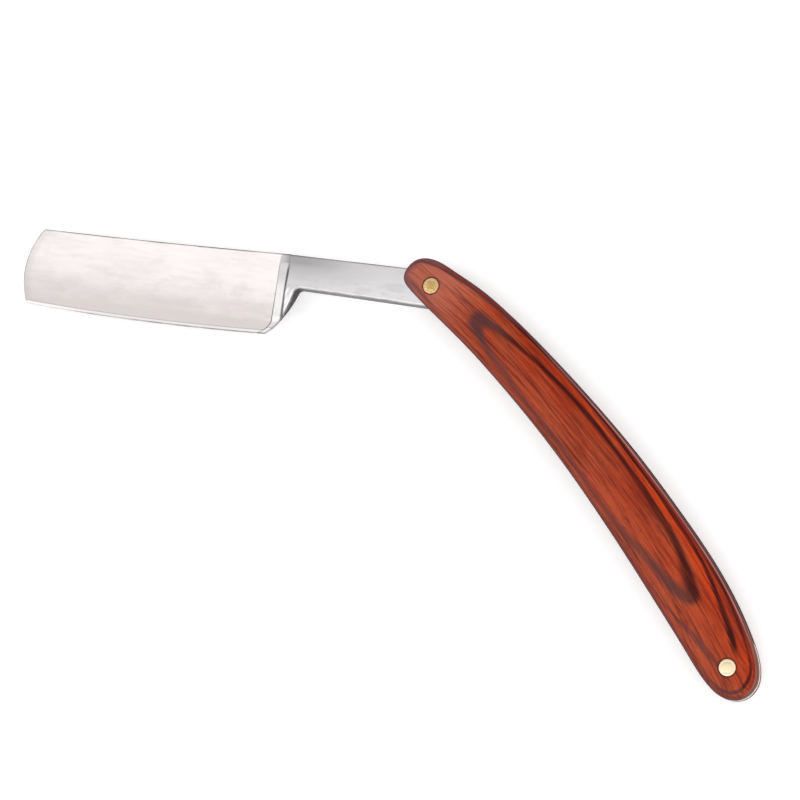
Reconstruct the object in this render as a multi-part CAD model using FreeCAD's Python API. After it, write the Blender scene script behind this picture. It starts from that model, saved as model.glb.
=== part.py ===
import FreeCAD, Part
import math
import os

# A folding straight razor: a steel blade turning on a brass pin between two wooden scales.
#
# Frame, in millimetres: +Z up. The origin is on the pivot axis, in the plane of the rear
# scale's flat outer face. +X runs from the pivot pin to the tail pin, and +Y points to
# the convex side of the scales, where the edge lies when the razor is closed.
# The blade is drawn in its own frame: x from the pivot to the toe, y from the spine to
# the edge, z from the blade's middle plane. It is then turned to its open position.

# ---- driving dimensions: handle -----------------------------------------------------
pin_spacing = 131.0        # pivot pin to tail pin
scale_thickness = 2.6
pivot_gap = 4.7            # between the scales, from the pivot to the start of the bend
tail_gap = 1.5             # between the scales at the tail pin, filled by the wedge
bend_start = 45.0          # the scales are straight up to here
bend_end = 85.0            # and straight again from here to the tail
arris_radius = 0.9         # rounding of each scale's outer rim
wedge_start = 128.2        # inner end of the wedge, at the rims of the scales
wedge_hollow = 1.6         # how far that end curves in between them

# ---- driving dimensions: pins and washers -------------------------------------------
pin_radius = 1.0
collar_radius = 2.2
collar_thickness = 0.7
head_radius = 1.5          # peened pin head, countersunk in its collar
head_depth = 0.4
washer_radius = 3.2
washer_thickness = 0.3
washer_bore = 1.06

# ---- driving dimensions: blade -------------------------------------------------------
open_angle = -136.9        # direction of the blade from +X, as it lies open
tang_thickness = 4.0       # at the pivot
shoulder_thickness = 4.3   # where the tang meets the blade
toe_thickness = 3.7        # of the spine at the toe
tang_bore = 1.06           # running fit on the pivot pin
tang_end_x = -4.9          # rounded end of the tang, behind the pivot
shoulder_x = 42.9          # first step of the shoulder, across the blade
grind_x = 45.6             # second step, where the blade's own grind starts
toe_x = 123.85
toe_back = (119.6, -4.95)  # corner of spine and toe
toe_edge = (121.5, 16.9)   # corner of edge and toe
tang_notch = (39.7, 4.0)   # inner corner of tang and heel
tang_arris = 0.35          # rounding along the tang's long edges and its end
spine_y = -5.0
edge_y = 18.15
spine_flat = 2.4           # full-thickness strip along the spine
edge_thickness = 0.16
bevel_width = 1.05         # honed secondary bevel
bevel_thickness = 0.5      # where the bevel meets the grind

mid_z = scale_thickness + pivot_gap / 2
Z = FreeCAD.Vector(0, 0, 1)


def vec(x, y, z=0.0):
    return FreeCAD.Vector(x, y, z)


def line(a, b):
    return Part.LineSegment(vec(*a), vec(*b)).toShape()


def arc(a, b, c):
    return Part.Arc(vec(*a), vec(*b), vec(*c)).toShape()


def curve(points, closed=False):
    spline = Part.BSplineCurve()
    spline.interpolate(Points=[vec(*p) for p in points], PeriodicFlag=closed)
    return spline.toShape()


def prism(edges, low, high):
    """Solid between two heights over a closed outline in the XY plane."""
    face = Part.Face(Part.Wire(edges))
    face.translate(vec(0, 0, low))
    return face.extrude(vec(0, 0, high - low))


def disc(radius, low, high, x=0.0):
    return Part.makeCylinder(radius, high - low, vec(x, 0, low), Z)


# ---- handle --------------------------------------------------------------------------
# Outline of the crescent scales, once round from the pivot end along the convex side.
scale_outline = [
    (-8.7, 1.8), (-6.4, 4.5), (0.0, 7.2), (10.0, 10.1), (22.0, 12.15),
    (40.0, 13.95), (56.0, 14.95), (72.0, 15.35), (88.0, 14.95), (104.0, 14.0),
    (117.0, 12.2), (128.0, 9.45), (135.0, 6.6), (139.0, 2.7), (139.3, -2.2),
    (136.2, -5.6), (131.0, -6.75), (122.0, -6.1), (106.0, -4.4), (88.0, -2.75),
    (70.0, -1.55), (53.0, -1.1), (36.0, -1.5), (18.0, -2.75), (4.0, -4.5),
    (-3.0, -5.2), (-7.2, -4.65), (-9.0, -1.6),
]


def bend_slope():
    """Slope of the straight tail stretch that closes the gap from pivot_gap to tail_gap."""
    run = 0.5 * (bend_end - bend_start) + (pin_spacing - bend_end)
    return math.atan((pivot_gap - tail_gap) / 2 / run)


def bend_rise(x):
    """How far each scale has come towards the middle plane at x."""
    slope = bend_slope()
    radius = (bend_end - bend_start) / math.sin(slope)
    if x <= bend_start:
        return 0.0
    if x <= bend_end:
        return radius - math.sqrt(radius ** 2 - (x - bend_start) ** 2)
    return radius * (1 - math.cos(slope)) + (x - bend_end) * math.tan(slope)


def side_band(low, high, x0=-20.0, x1=160.0):
    """Slab between two heights that follows the rear scale's bend, across the handle."""
    middle = 0.5 * (bend_start + bend_end)

    def run(z, start, end):
        p = [(x, z + bend_rise(x)) for x in (start, bend_start, middle, bend_end, end)]
        q = [vec(x, -40, h) for x, h in p]
        return [
            Part.LineSegment(q[0], q[1]).toShape(),
            Part.Arc(q[1], q[2], q[3]).toShape(),
            Part.LineSegment(q[3], q[4]).toShape(),
        ], q[0], q[4]

    lower, a0, a1 = run(low, x0, x1)
    upper, b0, b1 = run(high, x0, x1)
    ends = [Part.LineSegment(a0, b0).toShape(), Part.LineSegment(a1, b1).toShape()]
    wire = Part.Wire(Part.__sortEdges__(lower + upper + ends))
    return Part.Face(wire).extrude(vec(0, 80, 0))


def handle_prism():
    return prism([curve(scale_outline, closed=True)], -5.0, 20.0)


def mirrored(shape):
    """The same shape on the other side of the middle plane."""
    return shape.mirror(vec(0, 0, mid_z), Z)


def round_rim(solid, radius):
    """Round the edges that bound the outer face of the rear scale."""
    rim = []
    for edge in solid.Edges:
        points = [v.Point for v in edge.Vertexes]
        points.append(edge.valueAt(0.5 * (edge.FirstParameter + edge.LastParameter)))
        on_face = all(abs(p.z - bend_rise(p.x)) < 1e-3 for p in points)
        across = max(p.x for p in points) - min(p.x for p in points) < 1e-3
        if on_face and not across:
            rim.append(edge)
    return solid.makeFillet(radius, rim)


def rear_scale():
    blank = handle_prism().common(side_band(0.0, scale_thickness))
    blank = round_rim(blank.Solids[0], arris_radius)
    for x in (0.0, pin_spacing):
        face = bend_rise(x)
        blank = blank.cut(disc(pin_radius, -5.0, 20.0, x))
        blank = blank.cut(disc(collar_radius, face - 5.0, face + collar_thickness, x))
    return blank


def wedge():
    inner = [(wedge_start, -20.0), (wedge_start + wedge_hollow, 1.0), (wedge_start, 20.0)]
    corners = [inner[2], (170.0, 20.0), (170.0, -20.0), inner[0]]
    outline = [arc(*inner)] + [line(a, b) for a, b in zip(corners, corners[1:])]
    between = side_band(scale_thickness, 12.0)
    body = handle_prism().common(prism(outline, -5.0, 20.0))
    body = body.common(between).common(mirrored(between))
    return body.cut(disc(pin_radius, -5.0, 20.0, pin_spacing))


def countersink(x, face):
    return Part.makeCone(head_radius, pin_radius, head_depth, vec(x, 0, face), Z)


def rear_collar(x):
    """Flush brass ring let into the rear scale, countersunk for the pin's head."""
    face = bend_rise(x)
    ring = disc(collar_radius, face, face + collar_thickness, x)
    ring = ring.cut(disc(pin_radius, -5.0, 20.0, x))
    return ring.cut(countersink(x, face))


def pin(x):
    face = bend_rise(x)
    shank = disc(pin_radius, face, 2 * mid_z - face, x)
    head = countersink(x, face)
    return shank.fuse([head, mirrored(head)]).removeSplitter()


def rear_washer():
    low = scale_thickness
    ring = disc(washer_radius, low, low + washer_thickness)
    return ring.cut(disc(washer_bore, -5.0, 20.0))


# ---- blade ---------------------------------------------------------------------------
def blade_outline():
    """Closed outline of tang and blade in the blade's own frame, with sharp corners."""
    tang_back = (1.0, -4.85)
    shoulder_back = (shoulder_x + 1.0, -5.2)
    heel_corner = (47.1, 17.6)
    tang_root = (1.0, 5.15)
    return [
        line(tang_back, shoulder_back),
        arc(shoulder_back, (82.0, spine_y + 0.2), toe_back),
        arc(toe_back, (toe_x, 5.5), toe_edge),
        arc(toe_edge, (84.0, edge_y), heel_corner),
        curve([heel_corner, (44.6, 15.2), (42.4, 11.9), (40.9, 8.3), tang_notch]),
        line(tang_notch, tang_root),
        arc(tang_root, (tang_end_x, 0.15), tang_back),
    ]


def round_corners(plate):
    """Round the corners of the toe and the notch under the heel."""
    for corner, radius in ((toe_back, 1.2), (toe_edge, 1.3), (tang_notch, 1.5)):
        upright = [e for e in plate.Edges if all(near(v.Point, corner) for v in e.Vertexes)]
        plate = plate.makeFillet(radius, upright)
    return plate


def near(point, corner):
    return math.hypot(point.x - corner[0], point.y - corner[1]) < 1e-3


def grind_cutter(profile, start):
    """Tool that leaves the profile (y, half thickness) on one face, from x = start to the toe."""
    far_y = profile[-1][0] + 10.0
    section = profile + [(far_y, profile[-1][1]), (far_y, 6.0), (profile[0][0], 6.0)]
    points = [vec(start, y, z) for y, z in section]
    face = Part.Face(Part.makePolygon(points + points[:1]))
    return face.extrude(vec(140.0 - start, 0, 0))


def blade_in_own_frame():
    half = shoulder_thickness / 2
    plate = round_corners(prism(blade_outline(), -half, half))

    flat_end = spine_y + spine_flat
    edge_half = edge_thickness / 2
    bevel_start = edge_y - bevel_width
    heel_taper = [(5.2, half), (13.6, 0.34), (edge_y, edge_half)]
    strip_grind = [(flat_end, half), (5.0, 1.5), (9.5, 0.85), (13.6, 0.32), (edge_y, edge_half)]
    blade_grind = [(flat_end, half), (1.0, 1.6), (5.0, 1.1), (10.0, 0.62),
                   (bevel_start, bevel_thickness / 2), (edge_y, edge_half)]

    grinds = [(heel_taper, -20.0), (strip_grind, shoulder_x), (blade_grind, grind_x)]
    for profile, start in grinds:
        tool = grind_cutter(profile, start)
        plate = plate.cut(tool).cut(tool.mirror(vec(0, 0, 0), Z))

    for cutter in taper_cutters(half):
        plate = plate.cut(cutter)
    plate = round_tang(plate.removeSplitter())
    return plate.cut(disc(tang_bore, -10.0, 10.0))


def round_tang(plate):
    """Round the arrises of the tang's two faces, up to the shoulder and the notch."""
    arrises = []
    for edge in plate.Edges:
        points = [edge.valueAt(t) for t in edge.ParameterRange]
        on_tang = all(p.x < shoulder_x + 1e-3 and abs(p.z) > 1.9 for p in points)
        flat = abs(points[0].z - points[1].z) < shoulder_thickness - tang_thickness
        across = edge.BoundBox.XLength < 1e-3
        if on_tang and flat and not across:
            arrises.append(edge)
    return plate.makeFillet(tang_arris, arrises)


def taper_cutters(half):
    """Tools that thin the tang towards the pivot and the spine towards the toe."""
    def tool(side):
        points = [vec(x, -30, z) for x, z in side]
        face = Part.Face(Part.makePolygon(points + points[:1]))
        return face.extrude(vec(0, 80, 0))

    thin = tang_thickness / 2
    to_pivot = tool([(shoulder_x, half), (5.0, thin), (-10.0, thin), (-10.0, 9.0), (shoulder_x, 9.0)])
    to_toe = tool([(grind_x, half), (toe_x, toe_thickness / 2), (toe_x, 9.0), (grind_x, 9.0)])
    tools = [to_pivot, to_toe]
    return tools + [t.mirror(vec(0, 0, 0), Z) for t in tools]


def blade():
    solid = blade_in_own_frame()
    solid.rotate(vec(0, 0, 0), Z, open_angle)
    solid.translate(vec(0, 0, mid_z))
    return solid


# ---- assembly ------------------------------------------------------------------------
def build():
    nodes = {
        "rear_scale": rear_scale(),
        "wedge": wedge(),
        "blade": blade(),
        "pivot_pin": pin(0.0),
        "tail_pin": pin(pin_spacing),
        "rear_pivot_collar": rear_collar(0.0),
        "rear_tail_collar": rear_collar(pin_spacing),
        "rear_tang_washer": rear_washer(),
    }
    for name in ("scale", "pivot_collar", "tail_collar", "tang_washer"):
        nodes["front_" + name] = mirrored(nodes["rear_" + name])
    return nodes


def main():
    os.makedirs("parts", exist_ok=True)
    for name, shape in build().items():
        solids = shape.Solids
        print(f"{name:20s} solids {len(solids)}  volume {shape.Volume:9.2f} mm3  valid {shape.isValid()}")
        whole = solids[0] if len(solids) == 1 else Part.makeCompound(solids)
        whole.exportStep(f"parts/{name}.step")


main()
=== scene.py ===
import math

import bmesh
import bpy
import numpy as np
from mathutils import Matrix, Vector, geometry


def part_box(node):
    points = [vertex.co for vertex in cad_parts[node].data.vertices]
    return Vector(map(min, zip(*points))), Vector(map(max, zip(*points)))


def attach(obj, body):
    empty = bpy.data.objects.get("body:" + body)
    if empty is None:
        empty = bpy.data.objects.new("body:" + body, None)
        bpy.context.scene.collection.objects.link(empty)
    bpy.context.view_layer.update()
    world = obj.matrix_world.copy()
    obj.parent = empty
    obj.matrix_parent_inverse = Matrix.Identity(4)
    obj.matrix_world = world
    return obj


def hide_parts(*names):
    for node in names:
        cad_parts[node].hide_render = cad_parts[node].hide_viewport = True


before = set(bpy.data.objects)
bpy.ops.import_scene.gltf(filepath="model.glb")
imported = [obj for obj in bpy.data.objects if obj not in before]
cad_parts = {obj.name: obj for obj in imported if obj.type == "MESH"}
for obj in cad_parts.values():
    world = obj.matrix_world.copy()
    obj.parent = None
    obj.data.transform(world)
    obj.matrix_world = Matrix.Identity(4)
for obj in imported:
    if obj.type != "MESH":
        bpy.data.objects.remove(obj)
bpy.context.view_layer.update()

# A folding straight razor on a pale floor. Shapes are worked out in millimetres in the CAD's own
# frame and written to meshes in metres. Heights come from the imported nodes.
MM = 0.001

# ---- handle, in millimetres ----
SCALE_OUTLINE = [
    (-8.7, 1.8), (-6.4, 4.5), (0.0, 7.2), (10.0, 10.1), (22.0, 12.15),
    (40.0, 13.95), (56.0, 14.95), (72.0, 15.35), (88.0, 14.95), (104.0, 14.0),
    (117.0, 12.2), (128.0, 9.45), (135.0, 6.6), (139.0, 2.7), (139.3, -2.2),
    (136.2, -5.6), (131.0, -6.75), (122.0, -6.1), (106.0, -4.4), (88.0, -2.75),
    (70.0, -1.55), (53.0, -1.1), (36.0, -1.5), (18.0, -2.75), (4.0, -4.5),
    (-3.0, -5.2), (-7.2, -4.65), (-9.0, -1.6),
]
BEND_START = 45.0
BEND_END = 85.0
RIM_RADIUS = 0.9
CROWN_HEIGHT = 0.3         # the face is domed by this much, over CROWN_WIDTH in from the rim
CROWN_WIDTH = 5.5
CLEARANCE = 0.003          # the outline stays this far inside the CAD's
WEDGE_START = 128.2
WEDGE_HOLLOW = 1.6
WEDGE_ARRIS = 0.12

# Dark growth-ring lines in the wood. Each point has x, y, half width and strength.
GRAIN_LOOP = [
    (16.3, 4.2, 2.0, 1.0), (18.9, 6.0, 1.2, 1.0), (24.0, 7.7, 0.7, 0.95), (31.0, 9.1, 0.5, 0.95),
    (44.0, 10.8, 0.45, 1.0), (60.0, 11.95, 0.5, 1.0), (76.0, 11.55, 0.55, 1.0), (90.0, 10.35, 0.65, 1.0),
    (101.0, 8.5, 0.9, 1.0), (108.3, 5.8, 1.3, 1.0), (111.8, 3.6, 1.3, 1.0), (107.5, 1.9, 1.1, 0.9),
    (100.0, 1.2, 1.0, 0.8), (92.0, 0.5, 0.8, 0.75), (82.0, 0.15, 0.6, 0.7), (70.0, 0.6, 0.5, 0.65),
    (55.0, 1.15, 0.5, 0.65), (36.0, 1.0, 0.55, 0.65), (27.0, 1.4, 0.7, 0.7), (18.5, 2.8, 1.3, 1.0),
]
GRAIN_LINES = {
    "border": [
        (-7.7, -3.0, 0.3, 0.2), (-8.0, 0.8, 0.3, 0.6), (-5.0, 3.6, 0.3, 0.8), (0.0, 5.7, 0.3, 0.9),
        (5.0, 7.4, 0.35, 0.9), (15.0, 9.9, 0.35, 0.9), (25.0, 11.6, 0.4, 1.0), (40.0, 13.3, 0.4, 1.0),
        (52.0, 14.05, 0.4, 1.0), (65.0, 14.1, 0.4, 1.0), (80.0, 13.75, 0.4, 1.0), (95.0, 12.85, 0.45, 1.0),
        (105.0, 11.6, 0.5, 1.0), (115.0, 9.2, 0.6, 1.0), (122.5, 6.7, 0.8, 1.0), (128.0, 4.4, 0.7, 0.9),
        (131.0, 2.9, 0.4, 0.0),
    ],
    "tail": [
        (103.0, 13.1, 0.25, 0.0), (112.0, 12.0, 0.35, 0.8), (117.5, 10.9, 0.35, 0.8),
        (124.0, 9.2, 0.35, 0.8), (131.0, 6.6, 0.3, 0.75), (135.3, 4.2, 0.4, 0.9), (137.3, 0.5, 0.45, 0.95),
        (136.9, -2.8, 0.45, 0.95), (133.8, -4.8, 0.4, 0.9), (126.0, -5.1, 0.3, 0.0),
    ],
    "root": [
        (95.0, -2.7, 0.25, 0.0), (109.0, -2.7, 0.3, 0.5), (115.0, -2.3, 0.45, 0.65),
        (120.0, -2.0, 0.8, 0.75), (125.0, -2.0, 0.7, 0.7), (130.0, -1.5, 0.5, 0.0),
    ],
    "heel": [
        (-7.0, -3.6, 0.4, 0.0), (-2.4, -3.4, 0.5, 0.65), (4.0, -3.2, 0.5, 0.5), (13.0, -2.2, 0.4, 0.0),
    ],
    "high_streak": [(3.5, 4.6, 0.15, 0.0), (9.0, 5.0, 0.2, 0.5), (15.5, 5.3, 0.2, 0.5)],
    "middle_streak": [(3.5, 3.1, 0.15, 0.0), (8.0, 3.5, 0.2, 0.55), (15.0, 4.1, 0.25, 0.55)],
    "low_streak": [(4.0, 1.4, 0.15, 0.0), (9.5, 2.1, 0.2, 0.5), (16.0, 2.9, 0.2, 0.5)],
}

# ---- pins ----
PIN_RADIUS = 1.0
HEAD_RADIUS = 1.5
HEAD_DEPTH = 0.4
COLLAR_RADIUS = 2.2
COLLAR_THICKNESS = 0.7
WASHER_RADIUS = 3.2
WASHER_BORE = 1.06
ROUND_STEPS = 64           # facets round a pin
WASHER_ARRIS = 0.06
BORE_GAP = 0.02            # room round the pin in a collar
PIN_HEAD = [               # radius and depth, from the middle of the low dome to the shank
    (0.0, 0.0), (0.45, 0.004), (0.85, 0.015), (1.15, 0.03), (1.36, 0.055),
    (HEAD_RADIUS - 0.02, 0.11), (HEAD_RADIUS - 0.06, 0.16), (PIN_RADIUS, HEAD_DEPTH),
]
COUNTERSINK = [(0.0, 0.05), (0.05, 0.01)]    # out from the head's radius, and depth
COLLAR_ARRIS = [(0.16, 0.0), (0.05, 0.03), (0.0, 0.1)]    # in from the collar's radius, and depth

# ---- blade, in its own frame: x from pivot to toe, y from spine to edge ----
OPEN_ANGLE = math.radians(-136.9)
TANG_HALF = 2.0
SHOULDER_HALF = 2.15
TOE_HALF = 1.85
TANG_BORE = 1.06
SPINE_Y = -5.0
EDGE_Y = 18.15
SHOULDER_X = 42.9
GRIND_X = 45.6
GRIND_SWEEP = 0.2          # how strongly the hollow face's start sweeps towards the toe
GRIND_SWEEP_Y = 13.5       # where that sweep starts
TOE_X = 123.85
TANG_BACK = (1.0, -4.85)   # the outline's points, in order
SHOULDER_BACK = (SHOULDER_X + 1.0, -5.2)
SPINE_MIDDLE = (82.0, SPINE_Y + 0.2)
TOE_BACK = (119.6, -4.95)
TOE_MIDDLE = (TOE_X, 5.5)
TOE_EDGE = (121.5, 16.9)
EDGE_MIDDLE = (84.0, EDGE_Y)
TANG_NOTCH = (39.7, 4.0)
HEEL = [(47.1, 17.6), (44.6, 15.2), (42.4, 11.9), (40.9, 8.3), TANG_NOTCH]
TANG_ROOT = (1.0, 5.15)
TANG_END = (-4.9, 0.15)
BEVEL_WIDTH = 1.05
BEVEL_HALF = 0.25
EDGE_HALF = 0.08
HOLLOW_POWER = 1.5         # how strongly the blade's faces are hollowed
TANG_ARRIS = 0.35
SPINE_ARRIS = 0.12
HEEL_TAPER_START = 5.2     # the heel thins from here towards the edge
HEEL_TAPER_END = 13.6
HEEL_HALF = 0.34
HEEL_TAPER_BLEND = 1.6
STEP_START = -0.05
STEP_WIDTH = 0.45          # width of each of the two shoulder steps
STRIP_RISE = 0.36          # most that the strip between the steps stands above the hollow face
STRIP_SHARES = [(-3.6, 4.0, 1.0), (4.0, 14.0, -0.67), (14.0, 17.0, -0.14)]   # y from and to, gain
ROW_Y = np.arange(-4.2, 16.9, 0.45)  # where the rows along the steps have their points
ROW_SPACING = 0.07
COLUMN_OFFSETS = np.array([-3.0, -2.4, -1.8, -1.2, -0.6, -0.3, 0.75, 1.1, 1.5, 1.9])


# ---- heights read from the frame ----
def height(node, corner):
    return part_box(node)[corner].z / MM


MID_Z = 0.5 * (height("pivot_pin", 0) + height("pivot_pin", 1))
SCALE_THICKNESS = height("rear_tang_washer", 0)
WASHER_THICKNESS = height("rear_tang_washer", 1) - SCALE_THICKNESS
TAIL_X = 0.5 * (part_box("tail_pin")[0].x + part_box("tail_pin")[1].x) / MM
TAIL_RISE = height("tail_pin", 0)


def bend_rise(x):
    """How far each scale has come towards the middle plane at x."""
    run = 0.5 * (BEND_END - BEND_START) + TAIL_X - BEND_END
    slope = math.atan(TAIL_RISE / run)
    radius = (BEND_END - BEND_START) / math.sin(slope)
    inside = np.clip(x, BEND_START, BEND_END) - BEND_START
    curved = radius - np.sqrt(radius ** 2 - inside ** 2)
    return curved + np.clip(np.asarray(x) - BEND_END, 0.0, None) * math.tan(slope)


# ---- plane curves ----
def spline_through(points, step, closed=False):
    """Evenly spaced points on the cubic spline through the given ones. Extra columns ride along."""
    p = np.array(points, float)
    if closed:
        p = np.vstack([p, p[:1]])
    chord = np.linalg.norm(np.diff(p[:, :2], axis=0), axis=1)
    t = np.concatenate([[0.0], np.cumsum(chord)])
    n = len(p)
    system = np.zeros((n, n))
    right = np.zeros_like(p)
    slope = np.diff(p, axis=0) / chord[:, None]
    for i in range(1, n - 1):
        system[i, i - 1:i + 2] = chord[i - 1], 2 * (chord[i - 1] + chord[i]), chord[i]
        right[i] = 6 * (slope[i] - slope[i - 1])
    if closed:
        system[0, [0, -1]] = 1.0, -1.0
        system[-1, [0, 1, -2, -1]] = 2 * chord[0], chord[0], chord[-1], 2 * chord[-1]
        right[-1] = 6 * (slope[0] - slope[-1])
    else:
        system[0, 0] = system[-1, -1] = 1.0
    bend = np.linalg.solve(system, right)
    fine = np.linspace(0.0, t[-1], 40 * n)
    k = np.clip(np.searchsorted(t, fine, side="right") - 1, 0, n - 2)
    h = chord[k][:, None]
    a = ((t[k + 1] - fine) / chord[k])[:, None]
    b = 1.0 - a
    cubic = (a ** 3 - a) * bend[k] + (b ** 3 - b) * bend[k + 1]
    curve = a * p[k] + b * p[k + 1] + cubic * h ** 2 / 6
    return respaced(curve, step, closed)


def respaced(curve, step, closed=False):
    """The same polyline with evenly spaced points. A closed one doesn't repeat its first point."""
    steps = np.linalg.norm(np.diff(curve[:, :2], axis=0), axis=1)
    length = np.concatenate([[0.0], np.cumsum(steps)])
    count = max(2, int(round(length[-1] / step)) + 1)
    at = np.linspace(0.0, length[-1], count)
    even = np.stack([np.interp(at, length, column) for column in curve.T], axis=1)
    return even[:-1] if closed else even


def arc_through(a, b, c, step):
    """Points on the circular arc from a through b to c."""
    a, b, c = (np.array(p, float) for p in (a, b, c))
    system = 2 * np.array([b - a, c - a])
    centre = np.linalg.solve(system, [b @ b - a @ a, c @ c - a @ a])
    radius = np.linalg.norm(a - centre)
    angles = [math.atan2(*(p - centre)[::-1]) for p in (a, b, c)]
    turn = (angles[2] - angles[0]) % (2 * math.pi)
    if (angles[1] - angles[0]) % (2 * math.pi) > turn:
        turn -= 2 * math.pi
    count = max(3, int(abs(turn) * radius / step) + 1)
    at = angles[0] + np.linspace(0.0, turn, count)
    return centre + radius * np.stack([np.cos(at), np.sin(at)], axis=1)


def rounded_corner(before, corner, after, radius, step):
    """Replaces the corner between two polylines with an arc. Returns the joined polyline."""
    into = np.array(corner, float) - before[-2]
    out = after[1] - np.array(corner, float)
    into /= np.linalg.norm(into)
    out /= np.linalg.norm(out)
    turn = math.acos(np.clip(into @ out, -1.0, 1.0))
    cut = radius * math.tan(turn / 2)
    start = np.array(corner) - into * cut
    end = np.array(corner) + out * cut
    middle_way = out - into
    middle_way /= np.linalg.norm(middle_way)
    to_centre = radius / math.cos(turn / 2)
    middle = np.array(corner) + middle_way * (to_centre - radius)
    kept_before = before[np.linalg.norm(before - corner, axis=1) > cut + 0.3 * step]
    kept_after = after[np.linalg.norm(after - corner, axis=1) > cut + 0.3 * step]
    arc = arc_through(start, middle, end, min(step, radius / 5))
    return np.vstack([kept_before, arc, kept_after])


def circle(radius, centre=(0.0, 0.0)):
    at = np.linspace(0.0, 2 * math.pi, ROUND_STEPS, endpoint=False)
    return np.array(centre) + radius * np.stack([np.cos(at), np.sin(at)], axis=1)


def is_inside(points, loop):
    """For each point, whether it lies inside the closed loop."""
    a, b = loop, np.roll(loop, -1, axis=0)
    x, y = points[:, 0][:, None], points[:, 1][:, None]
    crosses = (a[:, 1] > y) != (b[:, 1] > y)
    rise = np.where(b[:, 1] == a[:, 1], 1e-12, b[:, 1] - a[:, 1])
    at = a[:, 0] + (y - a[:, 1]) * (b[:, 0] - a[:, 0]) / rise
    return (crosses & (x < at)).sum(axis=1) % 2 == 1


def nearest(points, line, closed=False):
    """For each point: its distance to a polyline, the nearest segment and which side it is on."""
    a = line if closed else line[:-1]
    b = np.roll(line, -1, axis=0) if closed else line[1:]
    along = b - a
    square = (along ** 2).sum(axis=1)
    gaps = []
    segments = []
    sides = []
    for start in range(0, len(points), 2000):
        part = points[start:start + 2000, None, :] - a
        share = np.clip((part * along).sum(axis=2) / square, 0.0, 1.0)
        gap = np.linalg.norm(part - share[..., None] * along, axis=2)
        closest = gap.argmin(axis=1)
        row = np.arange(len(closest))
        turn = along[closest, 0] * part[row, closest, 1] - along[closest, 1] * part[row, closest, 0]
        gaps.append(gap[row, closest])
        segments.append(closest)
        sides.append(np.where(turn < 0.0, -1.0, 1.0))
    return np.concatenate(gaps), np.concatenate(segments), np.concatenate(sides)


def distance(points, line, closed=False):
    """Each point's distance to a polyline."""
    return nearest(points, line, closed)[0] if len(points) else np.zeros(0)


def inset(loop, depth):
    """The closed loop moved inwards."""
    ahead, behind = np.roll(loop, -1, axis=0), np.roll(loop, 1, axis=0)
    along = ahead - behind
    along /= np.linalg.norm(along, axis=1)[:, None]
    area = (loop[:, 0] * ahead[:, 1] - ahead[:, 0] * loop[:, 1]).sum()
    inward = np.stack([-along[:, 1], along[:, 0]], axis=1) * math.copysign(1.0, area)
    return loop + depth * inward


def ease(low, high, value):
    """Smooth step from 0 at low to 1 at high."""
    t = np.clip((value - low) / (high - low), 0.0, 1.0)
    return t * t * (3 - 2 * t)


def round_over(depth, radius):
    """Drop of a quarter-round rim at this depth in from the edge."""
    left = np.clip(radius - depth, 0.0, None)
    return radius - np.sqrt(np.clip(radius ** 2 - left ** 2, 0.0, None))


# ---- meshes ----
WELD_GAP = 1e-7  # metres; vertices closer than this are one and the same


def field_grid(outline, spacing, margin, holes=()):
    """Staggered grid of points inside the outline, away from it and from the holes."""
    low, high = outline.min(axis=0), outline.max(axis=0)
    rows = np.arange(low[1], high[1], spacing * 0.87)
    points = [
        (x + (0.5 * spacing if i % 2 else 0.0), y)
        for i, y in enumerate(rows)
        for x in np.arange(low[0], high[0], spacing)
    ]
    points = np.array(points)
    points = points[is_inside(points, outline)]
    points = points[distance(points, outline, closed=True) > margin]
    for hole in holes:
        near = distance(points, hole, closed=True) > 0.5 * spacing
        points = points[near & ~is_inside(points, hole)]
    return points


def triangulated(rings, holes, field, lines=()):
    """Triangles between the first ring and the holes, using every given point."""
    loops = [*rings, *holes]
    edges = []
    start = 0
    for loop in loops:
        count = len(loop)
        edges += [(start + i, start + (i + 1) % count) for i in range(count)]
        start += count
    for line in lines:
        edges += [(start + i, start + i + 1) for i in range(len(line) - 1)]
        start += len(line)
    given = np.vstack([*loops, *lines, field])
    made = geometry.delaunay_2d_cdt([Vector(p) for p in given], edges, [], 0, 1e-6)
    points = np.array([tuple(p) for p in made[0]])
    place = {old: new for new, olds in enumerate(made[3]) for old in olds}
    triangles = np.array(made[2])
    middles = points[triangles].mean(axis=1)
    keep = is_inside(middles, rings[0])
    for hole in holes:
        keep &= ~is_inside(middles, hole)
    ring_indices = []
    start = 0
    for loop in loops:
        ring_indices.append([place[start + i] for i in range(len(loop))])
        start += len(loop)
    return points, triangles[keep], ring_indices


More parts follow.
